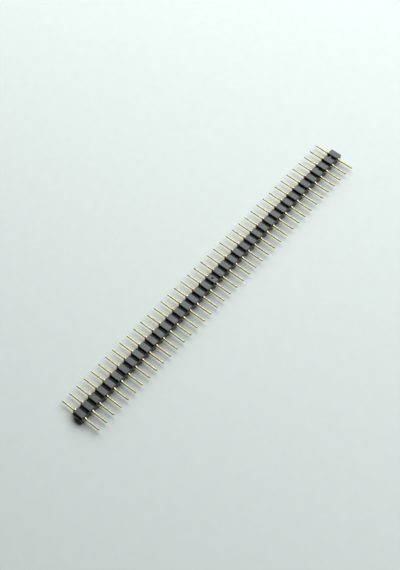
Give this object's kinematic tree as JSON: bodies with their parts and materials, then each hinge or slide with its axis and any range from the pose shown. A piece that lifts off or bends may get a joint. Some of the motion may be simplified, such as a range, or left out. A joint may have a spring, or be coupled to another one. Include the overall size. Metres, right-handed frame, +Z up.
{
  "type": "pin header strip",
  "caption": "Straight single-row header strip of slim turned gold pins through a notched black break-off insulator, lying on its side.",
  "frame": {"origin": "under the middle of the row, on the plane of the lower lands that the strip lies on", "axes": "+X along the row from pin 1 to pin 40, +Y along the pins towards their flanges, +Z up from the lower lands to the upper ones"},
  "size_m": [0.1016, 0.012, 0.0025],
  "materials": {
    "insulator": "black glass-filled thermoplastic as moulded, low sheen",
    "pin": "turned brass, gold flash plating, fine turning marks"
  },
  "bodies": {
    "root": {"insulator": "insulator", "pin_01": "pin", "pin_02": "pin", "pin_03": "pin", "pin_04": "pin", "pin_05": "pin", "pin_06": "pin", "pin_07": "pin", "pin_08": "pin", "pin_09": "pin", "pin_10": "pin", "pin_11": "pin", "pin_12": "pin", "pin_13": "pin", "pin_14": "pin", "pin_15": "pin", "pin_16": "pin", "pin_17": "pin", "pin_18": "pin", "pin_19": "pin", "pin_20": "pin", "pin_21": "pin", "pin_22": "pin", "pin_23": "pin", "pin_24": "pin", "pin_25": "pin", "pin_26": "pin", "pin_27": "pin", "pin_28": "pin", "pin_29": "pin", "pin_30": "pin", "pin_31": "pin", "pin_32": "pin", "pin_33": "pin", "pin_34": "pin", "pin_35": "pin", "pin_36": "pin", "pin_37": "pin", "pin_38": "pin", "pin_39": "pin", "pin_40": "pin"}
  },
  "joints": []
}
